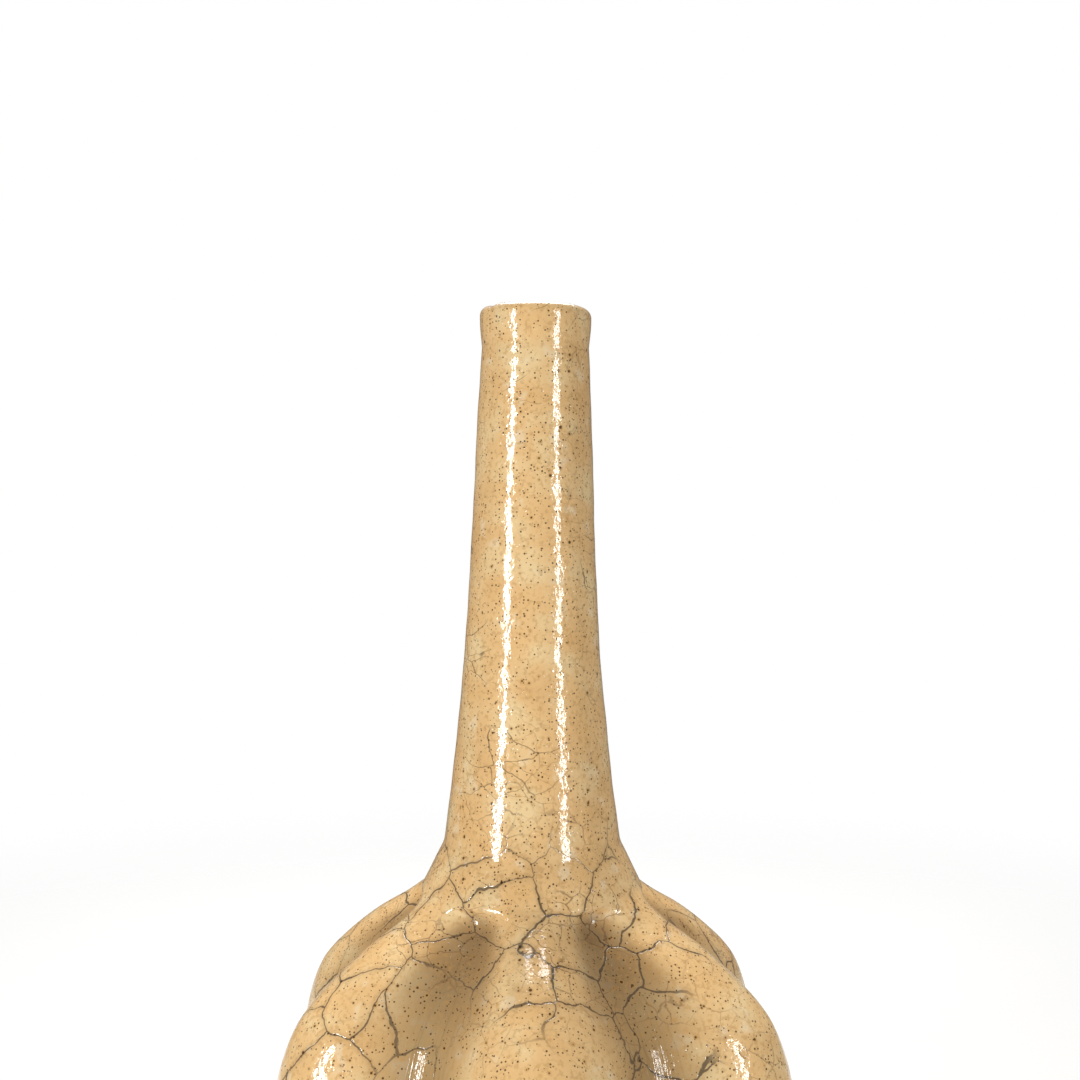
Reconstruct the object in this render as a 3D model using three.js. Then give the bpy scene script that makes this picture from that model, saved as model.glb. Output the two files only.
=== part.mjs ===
// A glazed stoneware bottle with a six-lobed body and a tall tapering neck.
// It is made as potters make it: thrown and pressed sections luted together on flat joints.
// Millimetres, +Z up, base on z = 0.
import * as THREE from 'three';

const SEGMENTS = 72; // facets round the body, a multiple of the lobes
const NECK_SEGMENTS = 48;
const LOBES = 6;
const LOBE_TURN = 2; // degrees that the front lobe is turned from the -Y axis
const WALL = 4;

const FOOT_HEIGHT = 7;
const FOOT_RADIUS = 37;
const FOOT_WIDTH = 6;
const FOOT_CHAMFER = 1;

const FLOOR_THICKNESS = 6;
const BASE_RADIUS = 42;
const BELLY_HEIGHT = 60;
const BELLY_RADIUS = 69;
const SHOULDER_HEIGHT = 116.5;
const SHOULDER_RADIUS = 27.8;
const LOBE_DEPTH = 15;

const FLARE_CORNER_HEIGHT = 127;
const FLARE_RADIUS = 27.3;
const FLARE_CORNER_RADIUS = 22;
const NECK_TOP_HEIGHT = 250;
const NECK_TOP_RADIUS = 13.4;
const LIP_HEIGHT = 10;
const LIP_SWELL = 0.5;

// Lines of the form as shares: [share of the height, share of the way between the two end radii].
const SHOULDER_LINE = [
  [0, 1], [0.18, 0.968], [0.35, 0.934], [0.53, 0.85], [0.67, 0.648], [0.8, 0.42], [0.9, 0.192], [1, 0],
];
const NECK_LINE = [
  [0, 1], [0.12, 0.77], [0.24, 0.59], [0.36, 0.43], [0.48, 0.326], [0.6, 0.244], [0.84, 0.116], [1, 0],
];
// Groove depth as shares of the height from foot to shoulder and of the full depth.
const GROOVE_LINE = [
  [0, 0], [0.08, 0.25], [0.22, 0.72], [0.36, 0.93], [0.53, 1], [0.72, 0.975], [0.85, 0.88], [0.93, 0.71],
  [0.97, 0.47], [1, 0],
];

const BELLY_TOP = SHOULDER_HEIGHT - BELLY_HEIGHT;
const BELLY_DROP = BELLY_HEIGHT - FOOT_HEIGHT;

// A smooth line through points that never overshoots them.
function through(points, t) {
  const slope = points.slice(1).map(([x, y], i) => (y - points[i][1]) / (x - points[i][0]));
  const tangent = points.map((_, i) => {
    if (i === 0) return slope[0];
    if (i === slope.length) return slope[i - 1];
    const [a, b] = [slope[i - 1], slope[i]];
    return a * b <= 0 ? 0 : 2 * a * b / (a + b);
  });
  const last = points.length - 2;
  let i = 0;
  while (i < last && t > points[i + 1][0]) i += 1;
  const [x0, y0] = points[i];
  const [x1, y1] = points[i + 1];
  const w = x1 - x0;
  const u = Math.min(1, Math.max(0, (t - x0) / w));
  return y0 * (1 + 2 * u) * (1 - u) ** 2 + tangent[i] * w * u * (1 - u) ** 2
    + y1 * u * u * (3 - 2 * u) + tangent[i + 1] * w * u * u * (u - 1);
}

// Crest radius of a lobe at height z: a full belly that rounds in to the foot and to the shoulder.
function crest(z) {
  if (z <= BELLY_HEIGHT) {
    const t = (BELLY_HEIGHT - z) / BELLY_DROP;
    return BASE_RADIUS + (BELLY_RADIUS - BASE_RADIUS) * Math.sqrt(Math.max(0, 1 - 0.98 * t ** 2.1));
  }
  const t = (z - BELLY_HEIGHT) / BELLY_TOP;
  return SHOULDER_RADIUS + (BELLY_RADIUS - SHOULDER_RADIUS) * through(SHOULDER_LINE, t);
}

// Depth of the grooves between the lobes, fading out at the foot and under the neck.
function grooveDepth(z) {
  const t = (z - FOOT_HEIGHT) / (SHOULDER_HEIGHT - FOOT_HEIGHT);
  return LOBE_DEPTH * through(GROOVE_LINE, t);
}

// Radius of the outside at height z and angle a: lobes and grooves that run into each other in one wave.
function lobed(z, inset = 0) {
  return (a) => {
    const turn = (-90 + LOBE_TURN) * Math.PI / 180;
    const lobe = (a - turn) * LOBES / (2 * Math.PI);
    const u = 2 * Math.abs(lobe - Math.round(lobe));
    return crest(z) - inset - grooveDepth(z) * (1 - Math.cos(Math.PI * u)) / 2;
  };
}

function round(r) {
  return () => r;
}

// A closed solid through a row of rings. A ring of radius null is a point on the axis.
function solidOf(rings, joinEnds, segments = SEGMENTS) {
  const points = [];
  const starts = [];
  for (const [z, radius] of rings) {
    starts.push(points.length / 3);
    if (radius === null) {
      points.push(0, 0, z);
      continue;
    }
    for (let j = 0; j < segments; j += 1) {
      const a = j * 2 * Math.PI / segments;
      points.push(radius(a) * Math.cos(a), radius(a) * Math.sin(a), z);
    }
  }
  const index = [];
  const last = joinEnds ? rings.length : rings.length - 1;
  for (let i = 0; i < last; i += 1) {
    const k = (i + 1) % rings.length;
    for (let j = 0; j < segments; j += 1) {
      const n = (j + 1) % segments;
      const a = starts[i] + (rings[i][1] ? j : 0);
      const b = starts[i] + (rings[i][1] ? n : 0);
      const c = starts[k] + (rings[k][1] ? n : 0);
      const d = starts[k] + (rings[k][1] ? j : 0);
      if (rings[i][1]) index.push(a, b, c);
      if (rings[k][1]) index.push(a, c, d);
    }
  }
  const geometry = new THREE.BufferGeometry();
  geometry.setAttribute('position', new THREE.Float32BufferAttribute(points, 3));
  geometry.setIndex(index);
  geometry.computeVertexNormals();
  return geometry;
}

function steps(from, to, count) {
  return Array.from({ length: count + 1 }, (_, i) => from + (to - from) * i / count);
}

// Foot ring: a turned ring with its bottom edges bevelled.
function footRing() {
  const inner = FOOT_RADIUS - FOOT_WIDTH;
  return solidOf([
    [0, round(FOOT_RADIUS - FOOT_CHAMFER)],
    [FOOT_CHAMFER, round(FOOT_RADIUS)],
    [FOOT_HEIGHT, round(FOOT_RADIUS)],
    [FOOT_HEIGHT, round(inner)],
    [FOOT_CHAMFER, round(inner)],
    [0, round(inner + FOOT_CHAMFER)],
  ], true);
}

// Lower body: a lobed bowl with a flat floor, cut off level at the belly.
function lowerBody() {
  const floor = FOOT_HEIGHT + FLOOR_THICKNESS;
  const outside = steps(FOOT_HEIGHT, BELLY_HEIGHT, 13).map((z) => [z, lobed(z)]);
  const inside = steps(BELLY_HEIGHT, floor, 10).map((z) => [z, lobed(z, WALL)]);
  return solidOf([[FOOT_HEIGHT, null], ...outside, ...inside, [floor, null]], false);
}

// Upper body: the lobed shoulder, open below at the belly and above at the neck.
function upperBody() {
  const outside = steps(BELLY_HEIGHT, SHOULDER_HEIGHT, 16).map((z) => [z, lobed(z)]);
  const inside = steps(SHOULDER_HEIGHT, BELLY_HEIGHT, 14).map((z) => [z, lobed(z, WALL)]);
  return solidOf([...outside, ...inside], true);
}

// Neck radius at height z above the flare: a long taper that draws in quickest near the flare.
function neckRadius(z) {
  const t = (z - FLARE_CORNER_HEIGHT) / (NECK_TOP_HEIGHT - FLARE_CORNER_HEIGHT);
  return NECK_TOP_RADIUS + (FLARE_CORNER_RADIUS - NECK_TOP_RADIUS) * through(NECK_LINE, t);
}

// Neck: the flare at its base, the taper, and a lip with a rounded edge.
function neck() {
  const top = NECK_TOP_HEIGHT + LIP_HEIGHT;
  const roundOff = WALL / 2;
  const outside = [
    [SHOULDER_HEIGHT, round(FLARE_RADIUS)],
    ...steps(FLARE_CORNER_HEIGHT, NECK_TOP_HEIGHT, 18).map((z) => [z, round(neckRadius(z))]),
    [NECK_TOP_HEIGHT + LIP_HEIGHT * 0.5, round(NECK_TOP_RADIUS + LIP_SWELL)],
  ];
  const lip = steps(0, Math.PI, 8).map((a) => [
    top - roundOff + roundOff * Math.sin(a),
    round(NECK_TOP_RADIUS - roundOff + LIP_SWELL / 2 + roundOff * Math.cos(a)),
  ]);
  const inside = [
    ...steps(NECK_TOP_HEIGHT, FLARE_CORNER_HEIGHT, 14).map((z) => [z, round(neckRadius(z) - WALL)]),
    [SHOULDER_HEIGHT, round(FLARE_RADIUS - WALL)],
  ];
  return solidOf([...outside, ...lip, ...inside], true, NECK_SEGMENTS);
}

const glaze = { color: '#e2bb84', roughness: 0.16, metalness: 0 };
const clay = { color: '#6e4a33', roughness: 0.75, metalness: 0 };

const group = new THREE.Group();
group.name = 'lobed_bottle';
const pieces = [
  ['foot_ring', footRing(), clay],
  ['lower_body', lowerBody(), glaze],
  ['upper_body', upperBody(), glaze],
  ['neck', neck(), glaze],
];
for (const [name, geometry, finish] of pieces) {
  const mesh = new THREE.Mesh(geometry, new THREE.MeshStandardMaterial(finish));
  mesh.name = name;
  group.add(mesh);
}

export default group;
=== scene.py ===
# %% [markdown]
# # A six-lobed bottle in crackled ash glaze
# The frame holds the bottle's solids. The glaze runs over the luted joints in one skin, so this script
# builds that skin from the lines of the solids, with the shoulder's corner eased and the small faults of
# handwork, and gives it a glossy crackled glaze. The foot ring stays a bare clay piece.

# %% Load the frame
import math
import bpy
import numpy as np
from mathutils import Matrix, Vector


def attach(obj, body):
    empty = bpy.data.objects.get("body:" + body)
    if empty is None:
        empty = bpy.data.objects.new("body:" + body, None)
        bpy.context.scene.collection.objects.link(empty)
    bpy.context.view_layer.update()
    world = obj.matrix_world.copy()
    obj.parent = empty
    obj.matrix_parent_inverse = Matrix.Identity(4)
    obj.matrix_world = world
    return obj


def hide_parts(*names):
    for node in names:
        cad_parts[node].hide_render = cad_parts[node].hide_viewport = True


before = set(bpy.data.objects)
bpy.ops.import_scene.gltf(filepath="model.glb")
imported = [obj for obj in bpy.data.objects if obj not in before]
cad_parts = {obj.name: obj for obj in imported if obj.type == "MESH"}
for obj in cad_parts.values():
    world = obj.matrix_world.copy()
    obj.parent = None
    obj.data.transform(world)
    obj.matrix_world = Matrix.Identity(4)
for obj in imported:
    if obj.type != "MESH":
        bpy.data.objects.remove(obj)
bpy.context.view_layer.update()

print("frame loaded:", sorted(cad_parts))

# %% [markdown]
# ## The form in numbers
# Heights and radii are in millimetres. Each line of the form is a short row of shares: how far up, and
# how far between the two end radii. A smooth line goes through them and never overshoots.

# %% The form in numbers
MM = 0.001
LOBES = 6
LOBE_TURN = 2.0
WALL = 4.0
FOOT_HEIGHT = 7.0
FLOOR_TOP = 13.0
BASE_RADIUS = 42.0
BELLY_HEIGHT = 60.0
BELLY_RADIUS = 69.0
SHOULDER_HEIGHT = 116.5
SHOULDER_RADIUS = 27.8
FLARE_RADIUS = 27.3
CORNER_HEIGHT = 127.0
CORNER_RADIUS = 22.0
NECK_TOP = 250.0
NECK_TOP_RADIUS = 13.4
LIP_TOP = 260.0
LOBE_DEPTH = 15.0
LIP_SWELL = 0.5
LIP_ROUND = WALL / 2
BOWL_CLOSE = 0.98
BOWL_POWER = 2.1
SHOULDER_LINE = [(0, 1), (0.18, 0.972), (0.35, 0.925), (0.45, 0.882), (0.53, 0.828), (0.6, 0.752),
                 (0.67, 0.65), (0.8, 0.42), (0.9, 0.192), (1, 0)]
NECK_LINE = [(0, 1), (0.12, 0.77), (0.24, 0.59), (0.36, 0.43), (0.48, 0.326), (0.6, 0.244),
             (0.84, 0.116), (1, 0)]
GROOVE_LINE = [(0, 0), (0.08, 0.25), (0.22, 0.72), (0.36, 0.93), (0.53, 1), (0.72, 0.975),
               (0.85, 0.88), (0.93, 0.71), (0.97, 0.47), (1, 0)]


def through(points, t):
    """A smooth line through points that never overshoots them."""
    slope = [(b[1] - a[1]) / (b[0] - a[0]) for a, b in zip(points, points[1:])]
    tangent = [slope[0]]
    for a, b in zip(slope, slope[1:]):
        tangent.append(0.0 if a * b <= 0 else 2 * a * b / (a + b))
    tangent.append(slope[-1])
    i = 0
    while i < len(slope) - 1 and t > points[i + 1][0]:
        i += 1
    (x0, y0), (x1, y1) = points[i], points[i + 1]
    w = x1 - x0
    u = min(1.0, max(0.0, (t - x0) / w))
    rise = y0 * (1 + 2 * u) * (1 - u) ** 2 + y1 * u * u * (3 - 2 * u)
    return rise + w * u * (1 - u) * (tangent[i] * (1 - u) - tangent[i + 1] * u)


def crest(z):
    """The radius of the body at a lobe's crest."""
    if z <= BELLY_HEIGHT:
        t = (BELLY_HEIGHT - z) / (BELLY_HEIGHT - FOOT_HEIGHT)
        share = math.sqrt(max(0.0, 1 - BOWL_CLOSE * t ** BOWL_POWER))
        return BASE_RADIUS + (BELLY_RADIUS - BASE_RADIUS) * share
    t = (z - BELLY_HEIGHT) / (SHOULDER_HEIGHT - BELLY_HEIGHT)
    return SHOULDER_RADIUS + (BELLY_RADIUS - SHOULDER_RADIUS) * through(SHOULDER_LINE, t)


def groove_depth(z):
    """How far the body draws in between two crests."""
    return LOBE_DEPTH * through(GROOVE_LINE, (z - FOOT_HEIGHT) / (SHOULDER_HEIGHT - FOOT_HEIGHT))


def neck_radius(z):
    """The radius of the flare and of the neck over it."""
    if z < CORNER_HEIGHT:
        t = (z - SHOULDER_HEIGHT) / (CORNER_HEIGHT - SHOULDER_HEIGHT)
        return FLARE_RADIUS + (CORNER_RADIUS - FLARE_RADIUS) * t
    t = (z - CORNER_HEIGHT) / (NECK_TOP - CORNER_HEIGHT)
    return NECK_TOP_RADIUS + (CORNER_RADIUS - NECK_TOP_RADIUS) * through(NECK_LINE, t)


print("crest at the belly", round(crest(BELLY_HEIGHT), 1), "mm, neck at 190 mm", round(neck_radius(190), 2))

# %% [markdown]
# ## Helpers
# Colours are sRGB hex and become the linear values that shaders use. Each shader node is added with its
# settings and links in one call.


# %% Helpers
def colour(text):
    """sRGB hex to linear RGBA."""
    parts = [int(text[i:i + 2], 16) / 255 for i in (1, 3, 5)]
    return [c / 12.92 if c <= 0.04045 else ((c + 0.055) / 1.055) ** 2.4 for c in parts] + [1.0]


def add(tree, kind, links=None, **values):
    """A shader node: links maps an input to an output, values sets properties or unlinked inputs."""
    node = tree.nodes.new(kind)
    for key, value in values.items():
        if hasattr(node, key):
            setattr(node, key, value)
        else:
            node.inputs[key.replace("_", " ")].default_value = value
    for key, output in (links or {}).items():
        tree.links.new(output, node.inputs[key])
    return node


def maths(tree, operation, *terms, clamp=False):
    """A math node on outputs or plain numbers."""
    node = add(tree, "ShaderNodeMath", operation=operation, use_clamp=clamp)
    for i, term in enumerate(terms):
        if isinstance(term, (int, float)):
            node.inputs[i].default_value = term
        else:
            tree.links.new(term, node.inputs[i])
    return node.outputs[0]


def times(tree, a, b):
    """The product of two outputs, or of an output and a number."""
    return maths(tree, "MULTIPLY", a, b)


def step(tree, source, start, end):
    """A smooth step of source from 0 at start to 1 at end; start may be the larger."""
    node = add(tree, "ShaderNodeMapRange", {"Value": source}, interpolation_type="SMOOTHSTEP")
    node.inputs["From Min"].default_value = min(start, end)
    node.inputs["From Max"].default_value = max(start, end)
    node.inputs["To Min"].default_value = 0.0 if start < end else 1.0
    node.inputs["To Max"].default_value = 1.0 if start < end else 0.0
    return node.outputs[0]


def over(tree, under, text, mask):
    """The colour text laid over under where mask is 1."""
    node = add(tree, "ShaderNodeMix", data_type="RGBA")
    tree.links.new(mask, node.inputs["Factor"])
    tree.links.new(under, node.inputs[6])
    node.inputs[7].default_value = colour(text)
    return node.outputs[2]


def ramp(tree, source, stops):
    """Colours along source, from stops of place and sRGB hex."""
    node = add(tree, "ShaderNodeValToRGB", {"Fac": source})
    elements = node.color_ramp.elements
    while len(elements) < len(stops):
        elements.new(0.5)
    for element, (place, text) in zip(elements, stops):
        element.position = place
        element.color = colour(text)
    return node.outputs["Color"]


def noise(tree, vector, cell_mm, detail=2.0, **values):
    """Noise whose features are about cell_mm across."""
    return add(tree, "ShaderNodeTexNoise", {"Vector": vector}, Scale=1000.0 / cell_mm, Detail=detail,
               **values).outputs["Fac"]


def material(name):
    """A new material and its empty shader tree."""
    m = bpy.data.materials.new(name)
    m.use_nodes = True
    m.node_tree.nodes.clear()
    return m, m.node_tree


# %% [markdown]
# ## The glazed skin
# The skin is one closed surface: up the outside, over the lip, down the bore and round the hollow body.
# The neck leans 1 mm to the right at its mouth, the wall wavers by a tenth of a millimetre, and the lip is
# uneven, as it was cut and wiped by hand. Every vertex keeps how deep it lies in a groove, for the glaze.

# %% The glazed skin
SEGMENTS = 432
SKIN_INSET = 0.12
LEAN_START = 150.0
LEAN_BY = 1.0
angle = np.arange(SEGMENTS) * 2 * math.pi / SEGMENTS
lobe = (angle - math.radians(-90 + LOBE_TURN)) * LOBES / (2 * math.pi)
across = (1 - np.cos(2 * math.pi * lobe)) / 2


def waver(z):
    """Unevenness of the wall in mm, from slow waves round and along the pot."""
    around = np.sin(2 * angle + 0.05 * z) + 0.6 * np.sin(3 * angle - 0.083 * z + 1.0)
    return 0.05 * around + 0.04 * np.sin(0.21 * z + angle) + 0.03 * math.sin(0.57 * z)


def lean(z):
    """How far the neck has leant to the right at z."""
    return LEAN_BY * max(0.0, (z - LEAN_START) / (LIP_TOP - LEAN_START)) ** 1.6


def lip_drop(share):
    """How far the lip lies under its full height, by share of the way to its top edge."""
    slope = 0.28 * (1 + np.cos(angle))
    nick = 0.5 * np.exp(-((angle - math.radians(212)) / 0.16) ** 2)
    waves = 0.10 * (1 + np.sin(3 * angle + 0.7))
    return share * (slope + nick + waves)


def body_ring(z, inset=0.0):
    """Height, radius and share of groove round the body: its outside, or its hollow when inset is given."""
    r = crest(z) - inset - groove_depth(z) * across
    if not inset:
        r = r + waver(z) - SKIN_INSET
    return z * np.ones(SEGMENTS), r, across * groove_depth(z) / LOBE_DEPTH


def neck_ring(z, inset=0.0):
    """The same round the flare and neck, which have no groove."""
    r = neck_radius(z) - inset + (0 if inset else waver(z))
    return z * np.ones(SEGMENTS), r * np.ones(SEGMENTS), np.zeros(SEGMENTS)


rings = [body_ring(z) for z in np.linspace(FOOT_HEIGHT, SHOULDER_HEIGHT - 0.4, 120)]
rings += [neck_ring(z) for z in np.linspace(SHOULDER_HEIGHT + 0.2, CORNER_HEIGHT - 0.6, 12)]
rings += [neck_ring(z) for z in np.linspace(CORNER_HEIGHT + 0.6, NECK_TOP, 110)]
for share in np.linspace(0.1, 0.9, 8):
    z = NECK_TOP + share * (LIP_TOP - LIP_ROUND - NECK_TOP)
    r = NECK_TOP_RADIUS + LIP_SWELL * math.sin(share * math.pi / 2) + waver(z)
    rings.append((z - lip_drop(share), r, np.zeros(SEGMENTS)))
for a in np.linspace(0, math.pi, 18):
    z = LIP_TOP - LIP_ROUND + LIP_ROUND * math.sin(a)
    r = NECK_TOP_RADIUS + LIP_SWELL - LIP_ROUND + LIP_ROUND * math.cos(a)
    fade = 0.5 + 0.5 * math.cos(a)
    rings.append((z - lip_drop(1.0), r + fade * waver(z), np.zeros(SEGMENTS)))
rings += [neck_ring(z, WALL) for z in np.linspace(NECK_TOP, SHOULDER_HEIGHT, 40)]
rings += [body_ring(z, WALL) for z in np.linspace(SHOULDER_HEIGHT - 0.5, FLOOR_TOP, 50)]

points = [(0.0, 0.0, FOOT_HEIGHT * MM)]
depth = [0.0]
for z, r, g in rings:
    shift = np.array([lean(h) for h in z])
    xs = (r * np.cos(angle) + shift) * MM
    ys = r * np.sin(angle) * MM
    points += list(zip(xs.tolist(), ys.tolist(), (z * MM).tolist()))
    depth += g.tolist()
points.append((0.0, 0.0, FLOOR_TOP * MM))
depth.append(0.0)
faces = []
following = [(j + 1) % SEGMENTS for j in range(SEGMENTS)]
for j in range(SEGMENTS):
    faces.append((0, 1 + following[j], 1 + j))
for i in range(len(rings) - 1):
    a, b = 1 + i * SEGMENTS, 1 + (i + 1) * SEGMENTS
    faces += [(a + j, a + following[j], b + following[j], b + j) for j in range(SEGMENTS)]
a = 1 + (len(rings) - 1) * SEGMENTS
for j in range(SEGMENTS):
    faces.append((a + j, a + following[j], len(points) - 1))
mesh = bpy.data.meshes.new("glazed_skin")
mesh.from_pydata(points, [], faces)
mesh.attributes.new("groove", "FLOAT", "POINT").data.foreach_set("value", depth)
mesh.polygons.foreach_set("use_smooth", [True] * len(mesh.polygons))
skin = bpy.data.objects.new("glazed_skin", mesh)
bpy.context.collection.objects.link(skin)
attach(skin, "root")
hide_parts("lower_body", "upper_body", "neck")
print("skin:", len(mesh.vertices), "vertices")

# %% [markdown]
# ## Crackled ash glaze
# The ground is a warm cream with pale clouds 6 mm across, a little greyer where it pooled in the grooves
# and darkened there further with painted shade, with a painted shadow in the hollows under the flare.
# Iron specks of 0.2 to 0.8 mm lie in it, the big ones with rusty halos. Three nets of cracks were stained
# after firing: a coarse dark one with a smoky edge on the body, a fine brown one at the neck's foot and
# right side, and a wide flat one of nearly level cracks on the neck. The pairs below are in metres: where a
# change begins and where it ends.

# %% Crackled ash glaze
UNDER_FLARE_SHADOW = (0.088, 0.106)
BODY_CRACKS = (0.145, 0.118)
FINE_CRACKS_TOP = (0.175, 0.130)
FINE_CRACKS_FOOT = (0.085, 0.110)
LEVEL_CRACKS = (0.130, 0.150)
RIGHT_SIDE = (0.000, 0.016)
LIP_TOP_HIGHLIGHT = (0.2583, 0.2596)
FOOT_EDGE = (0.0095, 0.0074)
glaze, t = material("crackled ash glaze")
place = add(t, "ShaderNodeTexCoord").outputs["Object"]
axes = add(t, "ShaderNodeSeparateXYZ", {"Vector": place})
height = axes.outputs["Z"]
groove = add(t, "ShaderNodeAttribute", attribute_name="groove").outputs["Fac"]

clouds = noise(t, place, 9.0, 3.0)
ground = ramp(t, clouds, [(0.30, "#E4B97E"), (0.50, "#E9C188"), (0.70, "#EDD09C")])
stain = noise(t, place, 26.0, 3.0)
ground = over(t, ground, "#C99B62", times(t, step(t, stain, 0.52, 0.74), 0.25))
ground = over(t, ground, "#F1DDB8", times(t, step(t, noise(t, place, 5.0, 1.0), 0.62, 0.74), 0.5))
# Greyer brown in the grooves: partly pooled glaze, partly painted shade in the troughs.
ground = over(t, ground, "#94774D", times(t, step(t, groove, 0.35, 1.0), 0.72))
# Painted shadow: a dark brown laid into the hollows of the grooves just under the flare.
hollow = times(t, step(t, height, *UNDER_FLARE_SHADOW), step(t, groove, 0.20, 0.60))
ground = over(t, ground, "#6B4E2C", times(t, hollow, 0.55))
ground = over(t, ground, "#B98F57", times(t, step(t, noise(t, place, 1.0, 2.0), 0.50, 0.68), 0.42))
print("ground colour ready")


def warped(vector, cell_mm, by_mm):
    """The place, pushed about by by_mm in waves of cell_mm."""
    push = add(t, "ShaderNodeTexNoise", {"Vector": vector}, Scale=1000.0 / cell_mm, Detail=3.0)
    centred = add(t, "ShaderNodeVectorMath", {0: push.outputs["Color"]}, operation="SUBTRACT")
    centred.inputs[1].default_value = (0.5, 0.5, 0.5)
    small = add(t, "ShaderNodeVectorMath", {0: centred.outputs[0]}, operation="SCALE")
    small.inputs["Scale"].default_value = by_mm * MM * 2
    return add(t, "ShaderNodeVectorMath", {0: vector, 1: small.outputs[0]}, operation="ADD").outputs[0]


def cracks(vector, cell_mm, stretch=1.0):
    """Distance in mm from the nearest crack of a net with cells of cell_mm."""
    flat = add(t, "ShaderNodeVectorMath", {0: vector}, operation="MULTIPLY")
    flat.inputs[1].default_value = (1.0, 1.0, stretch)
    net = add(t, "ShaderNodeTexVoronoi", {"Vector": flat.outputs[0]}, feature="DISTANCE_TO_EDGE",
              Scale=1000.0 / cell_mm)
    return times(t, net.outputs["Distance"], cell_mm)


patchy = noise(t, place, 34.0, 2.0)
wide = noise(t, place, 12.0, 2.0)
coarse = cracks(warped(warped(place, 20.0, 3.6), 6.0, 1.5), 17.0, 1.15)
on_body = step(t, height, *BODY_CRACKS)
coarse_here = times(t, on_body, step(t, patchy, 0.36, 0.52))
thick = maths(t, "MULTIPLY_ADD", step(t, wide, 0.35, 0.7), 0.16, 0.05)
line = step(t, maths(t, "SUBTRACT", coarse, thick), 0.14, -0.03)
smoke = times(t, step(t, coarse, 1.5, 0.0), 0.34)
fine = cracks(warped(place, 3.0, 1.0), 6.5, 1.1)
right_side = step(t, axes.outputs["X"], *RIGHT_SIDE)
low_neck = times(t, step(t, height, *FINE_CRACKS_TOP), step(t, height, *FINE_CRACKS_FOOT))
fine_here = maths(t, "MAXIMUM", times(t, right_side, 0.75), low_neck)
fine_here = times(t, fine_here, step(t, noise(t, place, 15.0, 2.0), 0.42, 0.62))
fine_line = times(t, step(t, fine, 0.20, 0.02), fine_here)
level = cracks(warped(place, 10.0, 3.0), 19.0, 2.3)
level_here = times(t, step(t, height, *LEVEL_CRACKS), step(t, noise(t, place, 22.0, 1.0), 0.50, 0.58))
level_line = times(t, step(t, level, 0.26, 0.02), level_here)
print("crackle ready")


def specks(cell_mm, share, least_mm, most_mm):
    """How far inside a speck the place is, in mm, for one speck in share of the cells."""
    net = add(t, "ShaderNodeTexVoronoi", {"Vector": place}, Scale=1000.0 / cell_mm)
    chance = add(t, "ShaderNodeSeparateColor", {"Color": net.outputs["Color"]})
    size = add(t, "ShaderNodeMapRange", {"Value": chance.outputs["Red"]}, clamp=False)
    size.inputs["From Min"].default_value = 1.0 - share
    size.inputs["To Min"].default_value = least_mm
    size.inputs["To Max"].default_value = most_mm
    kept = maths(t, "GREATER_THAN", chance.outputs["Red"], 1.0 - share)
    distance = times(t, net.outputs["Distance"], cell_mm)
    inside = maths(t, "SUBTRACT", size.outputs[0], distance)
    return maths(t, "SUBTRACT", inside, times(t, maths(t, "SUBTRACT", 1.0, kept), 9.0))


big = specks(2.3, 0.38, 0.18, 0.42)
small = specks(0.85, 0.80, 0.08, 0.25)
finish = over(t, ground, "#BE8B48", times(t, step(t, big, -0.50, 0.0), 0.42))
finish = over(t, finish, "#A98A60", times(t, smoke, coarse_here))
finish = over(t, finish, "#6F5236", times(t, fine_line, 0.62))
finish = over(t, finish, "#4E3D2C", times(t, level_line, 0.70))
finish = over(t, finish, "#4A3E32", times(t, times(t, line, coarse_here), 0.80))
finish = over(t, finish, "#3E2813", times(t, step(t, small, -0.04, 0.04), 0.88))
finish = over(t, finish, "#33200F", times(t, step(t, big, -0.06, 0.10), 0.85))
# Painted highlight: a pale band along the top of the lip.
finish = over(t, finish, "#EBD2BD", times(t, step(t, height, *LIP_TOP_HIGHLIGHT), 0.7))
finish = over(t, finish, "#7A5232", step(t, height, *FOOT_EDGE))

# %% [markdown]
# The surface has the fine orange peel of a viscous glaze, pinholes, and in each groove the drawn streaks of
# the tool that pressed it. The streaks run along the groove, so their noise is stretched along the height.

# %% Glaze surface
around = maths(t, "ARCTAN2", axes.outputs["Y"], axes.outputs["X"])
drawn_place = add(t, "ShaderNodeCombineXYZ", {"X": times(t, around, 52.0),
                                              "Z": times(t, height, 30.0)})
drawn = add(t, "ShaderNodeTexNoise", {"Vector": drawn_place.outputs[0]}, Scale=1.0, Detail=2.0)
drawn = drawn.outputs["Fac"]
drawn_here = step(t, groove, 0.62, 0.95)
peel = maths(t, "ADD", noise(t, place, 1.6, 2.0), times(t, noise(t, place, 7.0, 2.0), 2.2))
holes = step(t, noise(t, place, 1.1, 1.0), 0.34, 0.26)
relief = maths(t, "SUBTRACT", times(t, peel, 0.21), times(t, holes, 0.05))
relief = maths(t, "ADD", relief, times(t, times(t, drawn, drawn_here), 0.30))
relief = maths(t, "SUBTRACT", relief, times(t, times(t, line, coarse_here), 0.06))
bump = add(t, "ShaderNodeBump", {"Height": relief}, Strength=1.0, Distance=0.0006)
finish = over(t, finish, "#8F734C", times(t, times(t, drawn_here, step(t, drawn, 0.5, 0.7)), 0.35))
gloss = add(t, "ShaderNodeBsdfPrincipled", {"Base Color": finish, "Normal": bump.outputs[0]},
            Roughness=0.12, IOR=1.52)
add(t, "ShaderNodeOutputMaterial", {"Surface": gloss.outputs[0]})
mesh.materials.append(glaze)
print("glaze nodes:", len(t.nodes))

# %% [markdown]
# ## Bare stoneware foot
# The foot is wiped clean before firing, so it stays matt, and its iron turns it brown.

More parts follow.
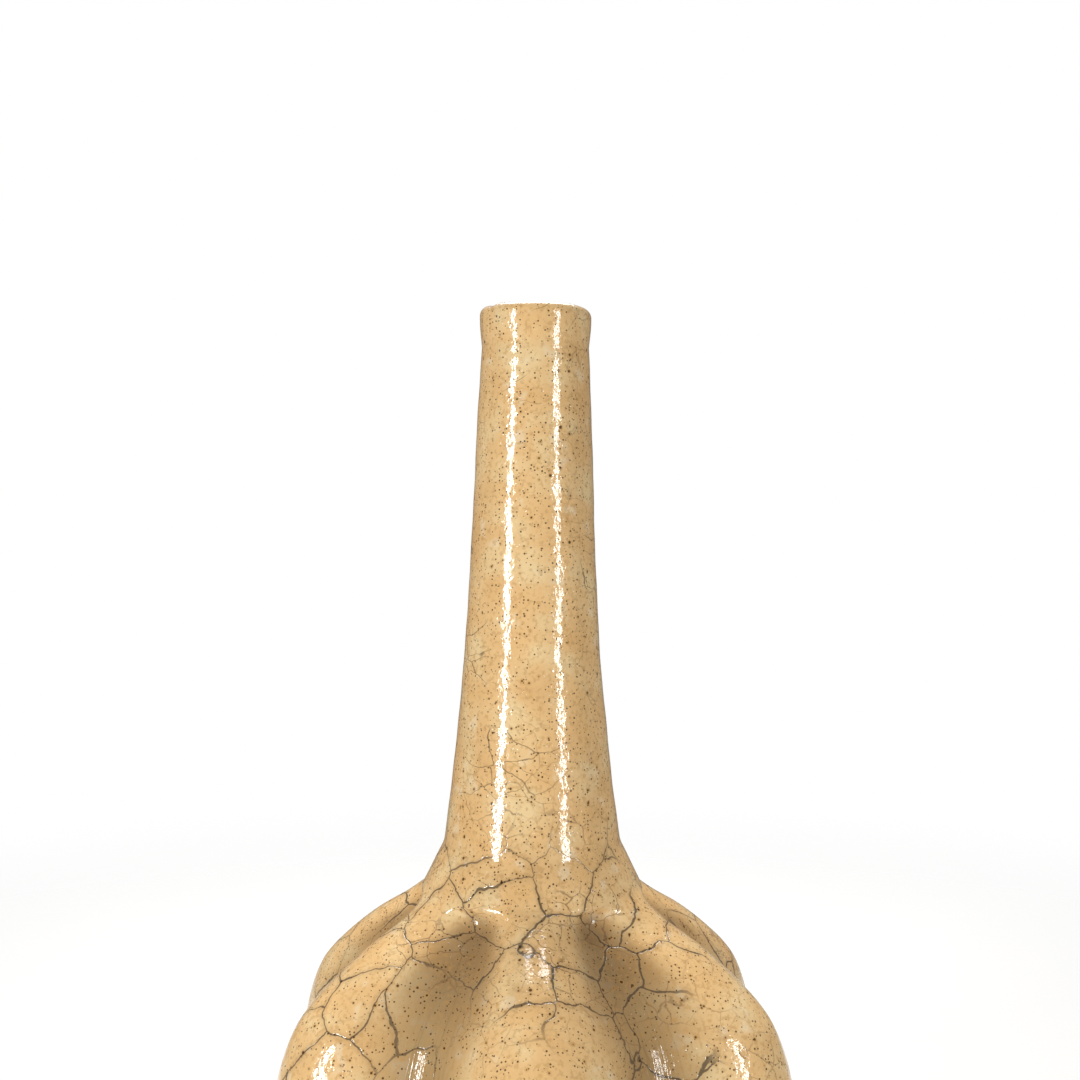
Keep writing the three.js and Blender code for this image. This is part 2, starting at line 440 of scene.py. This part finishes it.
# %% Bare stoneware foot
clay, t2 = material("iron-rich stoneware")
place2 = add(t2, "ShaderNodeTexCoord").outputs["Object"]
grain = noise(t2, place2, 2.0, 4.0)
body = ramp(t2, grain, [(0.3, "#573826"), (0.7, "#85603F")])
rough = add(t2, "ShaderNodeBump", {"Height": grain}, Strength=0.4, Distance=0.0004)
matt = add(t2, "ShaderNodeBsdfPrincipled", {"Base Color": body, "Normal": rough.outputs[0]}, Roughness=0.8)
add(t2, "ShaderNodeOutputMaterial", {"Surface": matt.outputs[0]})
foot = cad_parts["foot_ring"]
foot.data.materials.clear()
foot.data.materials.append(clay)
print("foot dressed")

# %% [markdown]
# ## Floor
# The floor is pale and plain, and fades out into the white background between two distances in metres.

# %% Floor
FADE = (0.15, 0.7)
bpy.ops.mesh.primitive_plane_add(size=4.0)
floor = bpy.context.object
floor.name = "floor"
paper, t3 = material("pale paper")
plain = add(t3, "ShaderNodeBsdfPrincipled", Base_Color=colour("#F2F1EF"), Roughness=0.9)
here = add(t3, "ShaderNodeTexCoord").outputs["Object"]
away = add(t3, "ShaderNodeVectorMath", {0: here}, operation="LENGTH").outputs["Value"]
gone = add(t3, "ShaderNodeBsdfTransparent")
edge = add(t3, "ShaderNodeMixShader", {0: step(t3, away, *FADE), 1: plain.outputs[0], 2: gone.outputs[0]})
add(t3, "ShaderNodeOutputMaterial", {"Surface": edge.outputs[0]})
floor.data.materials.append(paper)

# %% [markdown]
# ## Light
# Two upright strip lights at 45 degrees draw the two long lines on the neck. A soft light from above and
# behind lights the shoulders, and the white room fills the shade.


# %% Light
def softbox(name, azimuth, elevation, distance, width, tall, power):
    """A lit rectangle aimed at the bottle. Azimuth 0 is at the camera's side and grows to the right."""
    lamp = bpy.data.lights.new(name, "AREA")
    lamp.shape = "RECTANGLE"
    lamp.size = width
    lamp.size_y = tall
    lamp.energy = power
    o = bpy.data.objects.new(name, lamp)
    bpy.context.collection.objects.link(o)
    a, e = math.radians(azimuth), math.radians(elevation)
    aim = Vector((0, 0, 0.15))
    way = Vector((math.sin(a) * math.cos(e), -math.cos(a) * math.cos(e), math.sin(e)))
    o.location = aim + distance * way
    o.rotation_euler = (aim - o.location).to_track_quat("-Z", "Y").to_euler()


ROOM_FILL = 0.13
softbox("left strip", -45, 8, 1.0, 0.09, 0.5, 6.6)
softbox("right strip", 45, 8, 1.0, 0.09, 0.5, 3.7)
softbox("hair light", 180, 64, 0.8, 0.5, 0.5, 9.0)

world = bpy.data.worlds.new("studio")
bpy.context.scene.world = world
world.use_nodes = True
w = world.node_tree
w.nodes.clear()
path = add(w, "ShaderNodeLightPath").outputs["Is Camera Ray"]
dim = add(w, "ShaderNodeBackground", Color=colour("#FFFFFF"), Strength=ROOM_FILL)
white = add(w, "ShaderNodeBackground", Color=colour("#FFFFFF"), Strength=1.0)
both = add(w, "ShaderNodeMixShader", {0: path, 1: dim.outputs[0], 2: white.outputs[0]})
add(w, "ShaderNodeOutputWorld", {"Surface": both.outputs[0]})
bpy.context.scene.view_settings.view_transform = "Standard"

# %% [markdown]
# ## Camera
# The camera is level, 202 mm up and 331 mm from the axis, which gives the photograph's crop.

# %% Camera
camera = bpy.data.cameras.new("camera")
camera.sensor_width = 36.0
camera.lens = 44.1
eye = bpy.data.objects.new("camera", camera)
bpy.context.collection.objects.link(eye)
eye.location = (0.002, -0.331, 0.202)
eye.rotation_euler = (math.radians(90), 0, 0)
bpy.context.scene.camera = eye
